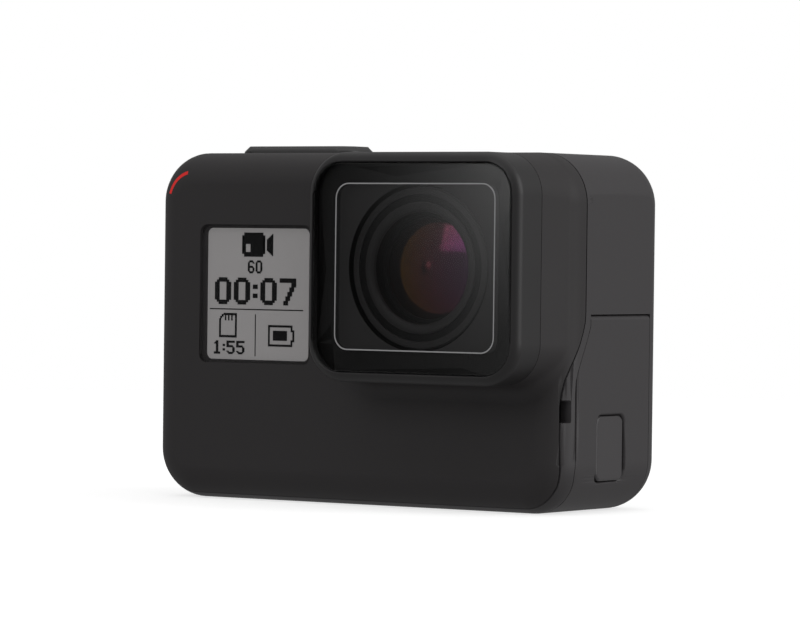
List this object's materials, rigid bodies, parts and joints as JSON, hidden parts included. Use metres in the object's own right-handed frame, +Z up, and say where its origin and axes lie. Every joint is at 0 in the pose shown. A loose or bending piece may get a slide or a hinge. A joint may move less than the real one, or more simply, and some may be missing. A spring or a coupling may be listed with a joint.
{
  "type": "action camera",
  "caption": "Small rugged box camera with a square lens cover, front status display, top shutter button, side port door and bottom battery door.",
  "frame": {"origin": "middle of the footprint on the flat base", "axes": "+Z up, the lens looks along -Y, +X is to the right seen from the front"},
  "size_m": [0.0624, 0.033, 0.0449],
  "materials": {
    "housing_rubber": "matt soft-touch coating",
    "frame_rubber": "matt soft-touch coating, a shade lighter",
    "door_rubber": "matt soft-touch coating",
    "inner_plastic": "moulded, fine texture",
    "cover_plastic": "satin moulded",
    "cover_glass": "clear, hard coated",
    "mask_black": "printed black",
    "trim_silver": "fine satin line",
    "seal_rubber": "matt silicone",
    "bezel_grey": "dark ring with a grey step",
    "barrel_black": "anti-reflection black",
    "lens_glass": "coated, violet reflection",
    "filter_glass": "pale blue filter",
    "chip_black": "moulded package",
    "board_green": "solder mask",
    "window_glass": "clear",
    "display_grey": "reflective grey segments",
    "display_dark": "switched-off panel",
    "rear_glass_black": "polished",
    "light_red": "tinted light pipe",
    "screw_steel": "plain",
    "spreader_metal": "rolled sheet",
    "port_steel": "drawn shell",
    "speaker_black": "moulded",
    "antenna_brass": "flexible foil",
    "contact_brass": "plated",
    "switch_metal": "dome switch",
    "button_rubber": "matt",
    "pin_steel": "ground",
    "latch_plastic": "satin moulded",
    "battery_shell": "moulded pack",
    "tab_blue": "pull tab",
    "card_black": "moulded card"
  },
  "bodies": {
    "camera": {"front_housing": "housing_rubber", "frame_housing": "frame_rubber", "port_bulkhead": "inner_plastic", "battery_bay": "inner_plastic", "bayonet_ring": "inner_plastic", "lens_bezel": "bezel_grey", "lens_barrel": "barrel_black", "lens_retainer": "barrel_black", "lens_front_element": "lens_glass", "lens_middle_element": "lens_glass", "lens_rear_element": "lens_glass", "lens_holder": "barrel_black", "ir_filter": "filter_glass", "image_sensor": "chip_black", "sensor_board": "board_green", "status_window": "window_glass", "status_gasket": "seal_rubber", "status_display": "display_grey", "status_light": "light_red", "rear_glass": "rear_glass_black", "rear_display": "display_dark", "rear_light": "light_red", "main_board": "board_green", "board_screws": "screw_steel", "processor": "chip_black", "memory_chip": "chip_black", "heat_spreader": "spreader_metal", "card_socket": "port_steel", "port_board": "board_green", "usb_c_port": "port_steel", "micro_video_port": "port_steel", "speaker": "speaker_black", "side_microphone": "speaker_black", "wireless_antenna": "antenna_brass", "battery_contacts": "contact_brass", "button_board": "board_green", "shutter_switch": "switch_metal", "mode_switch": "switch_metal"},
    "lens_cover": {"lens_cover_frame": "cover_plastic", "lens_cover_glass": "cover_glass", "lens_cover_mask": "mask_black", "lens_cover_trim": "trim_silver", "lens_cover_seal": "seal_rubber"},
    "shutter": {"shutter_button": "button_rubber"},
    "mode_key": {"mode_button": "button_rubber"},
    "side_door_group": {"side_door": "door_rubber", "side_door_seal": "seal_rubber", "side_hinge_pin": "pin_steel"},
    "side_latch": {"door_latch_button": "latch_plastic"},
    "battery_door_group": {"battery_door": "door_rubber", "battery_door_seal": "seal_rubber", "battery_hinge_pin": "pin_steel"},
    "base_latch": {"battery_latch": "latch_plastic"},
    "battery": {"battery_pack": "battery_shell", "battery_pull_tab": "tab_blue"},
    "card": {"memory_card": "card_black"}
  },
  "joints": [
    {"name": "cover_twist", "type": "hinge", "parent": "camera", "child": "lens_cover", "pos_m": [0.015, -0.0112, 0.0297], "axis": [0, -1, 0], "range_deg": [0, 60]},
    {"name": "shutter_press", "type": "slide", "parent": "camera", "child": "shutter", "axis": [0, 0, -1], "range_m": [0, 0.0007], "stiffness_N_per_m": 1500},
    {"name": "mode_press", "type": "slide", "parent": "camera", "child": "mode_key", "axis": [1, 0, 0], "range_m": [0, 0.0006], "stiffness_N_per_m": 1500},
    {"name": "side_door_swing", "type": "hinge", "parent": "camera", "child": "side_door_group", "pos_m": [0.03045, 0.0052, 0.0235], "axis": [0, -1, 0], "range_deg": [0, 95]},
    {"name": "side_latch_press", "type": "slide", "parent": "side_door_group", "child": "side_latch", "axis": [-1, 0, 0], "range_m": [0, 0.0007], "stiffness_N_per_m": 800},
    {"name": "battery_door_swing", "type": "hinge", "parent": "camera", "child": "battery_door_group", "pos_m": [-0.0276, 0.0032, 0.0016], "axis": [0, 1, 0], "range_deg": [0, 110]},
    {"name": "battery_latch_slide", "type": "slide", "parent": "battery_door_group", "child": "base_latch", "axis": [1, 0, 0], "range_m": [0, 0.0012], "stiffness_N_per_m": 400},
    {"name": "battery_release", "type": "slide", "parent": "camera", "child": "battery", "axis": [0, 0, -1], "range_m": [0, 0.00287]},
    {"name": "card_push", "type": "slide", "parent": "camera", "child": "card", "axis": [0, 0, 1], "range_m": [0, 0.0006], "stiffness_N_per_m": 500}
  ],
  "couplings": [
    {"joint": "battery_door_swing", "follows": "battery_release", "rad_per_m": 666.67}
  ]
}
